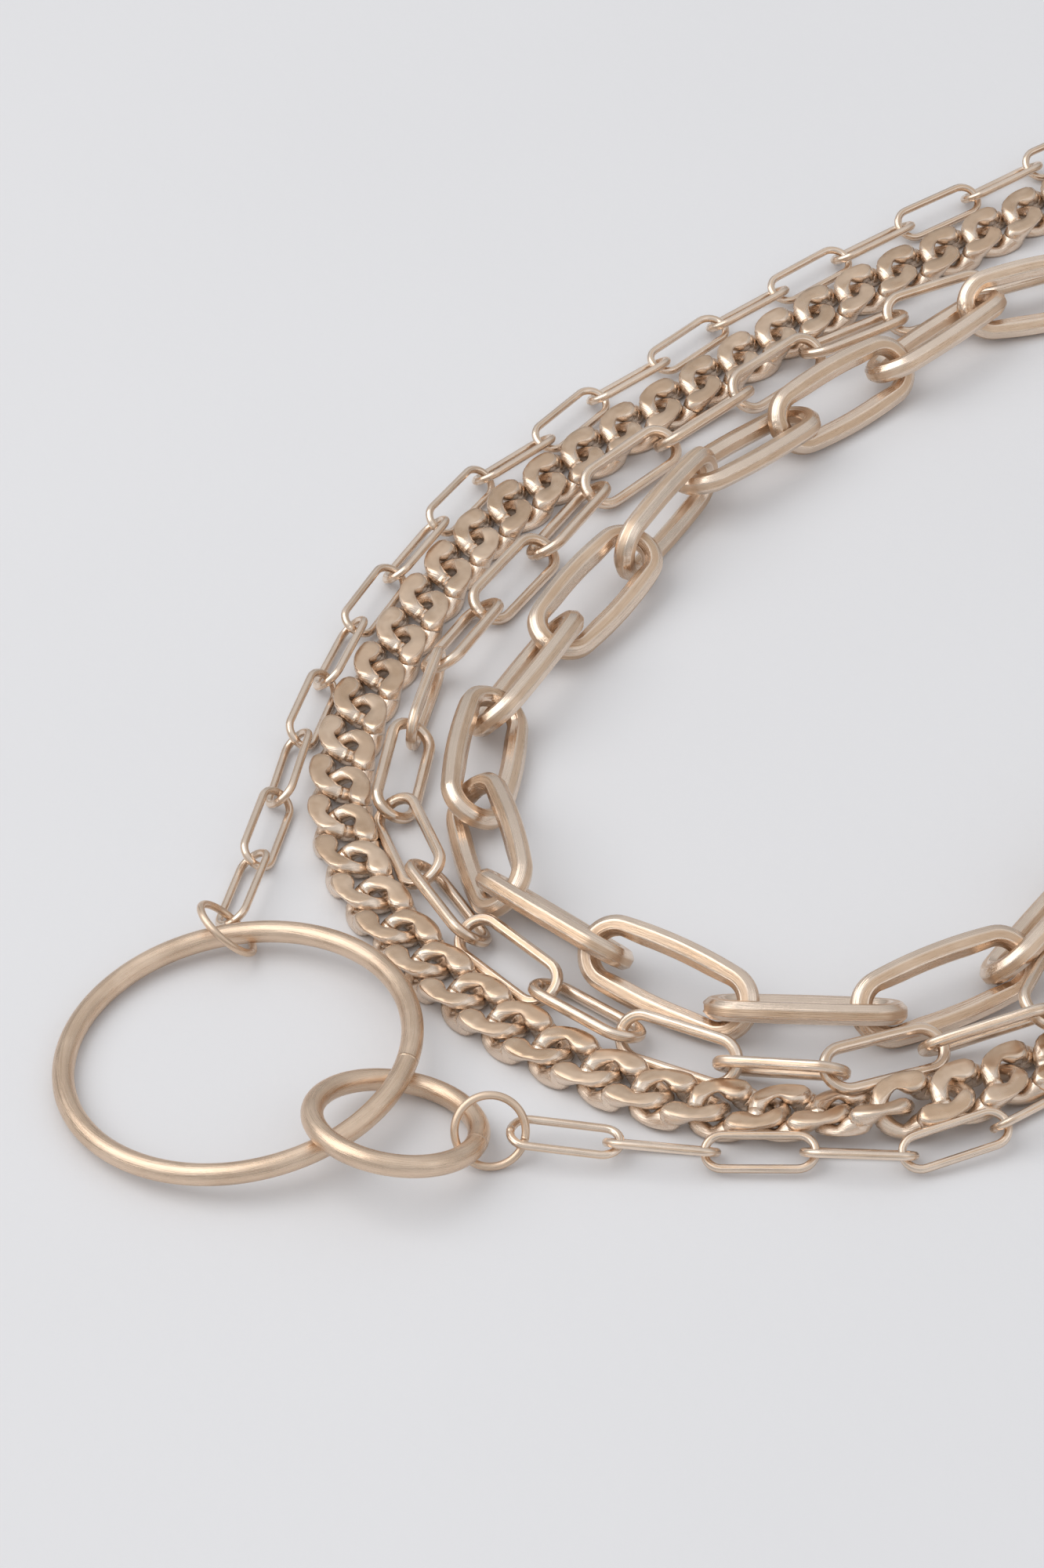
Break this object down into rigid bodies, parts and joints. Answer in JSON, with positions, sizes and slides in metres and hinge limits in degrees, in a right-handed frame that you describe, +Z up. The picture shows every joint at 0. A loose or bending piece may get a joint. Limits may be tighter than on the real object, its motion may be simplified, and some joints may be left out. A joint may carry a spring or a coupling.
{
  "type": "multi strand necklace",
  "caption": "Necklace of several link chains side by side on one clasp, from large oval links to fine ones, with a curb chain and plain rings hung in the outer strand.",
  "frame": {"origin": "middle of the bounding box's bottom face, on the surface that the necklace lies on", "axes": "+X to the right in the picture, +Y away from the camera, +Z up from the surface"},
  "size_m": [0.2414, 0.1953, 0.0098],
  "materials": {
    "large_gold": "brushed flat faces with polished edges",
    "medium_gold": "satin",
    "curb_gold": "brushed flats, polished sides",
    "fine_gold": "satin",
    "ring_gold": "satin"
  },
  "bodies": {
    "root": {"clasp": "ring_gold", "curb_chain": "curb_gold", "end_jump_rings_lower": "ring_gold", "end_jump_rings_upper": "ring_gold", "end_ring_lower": "ring_gold", "end_ring_upper": "ring_gold", "fine_chain_left": "fine_gold", "fine_chain_right": "fine_gold", "large_link_01": "large_gold", "large_link_02": "large_gold", "large_link_03": "large_gold", "large_link_04": "large_gold", "large_link_05": "large_gold", "large_link_06": "large_gold", "large_link_07": "large_gold", "large_link_08": "large_gold", "large_link_09": "large_gold", "large_link_10": "large_gold", "large_link_11": "large_gold", "large_link_12": "large_gold", "large_link_13": "large_gold", "large_link_14": "large_gold", "large_link_15": "large_gold", "large_link_16": "large_gold", "large_link_17": "large_gold", "large_link_18": "large_gold", "large_link_19": "large_gold", "large_link_20": "large_gold", "large_link_21": "large_gold", "large_link_22": "large_gold", "large_link_23": "large_gold", "large_link_24": "large_gold", "medium_chain": "medium_gold", "pendant_jump_ring_left": "ring_gold", "pendant_jump_ring_right": "ring_gold", "pendant_ring_large": "ring_gold", "pendant_ring_small": "ring_gold"}
  },
  "joints": []
}
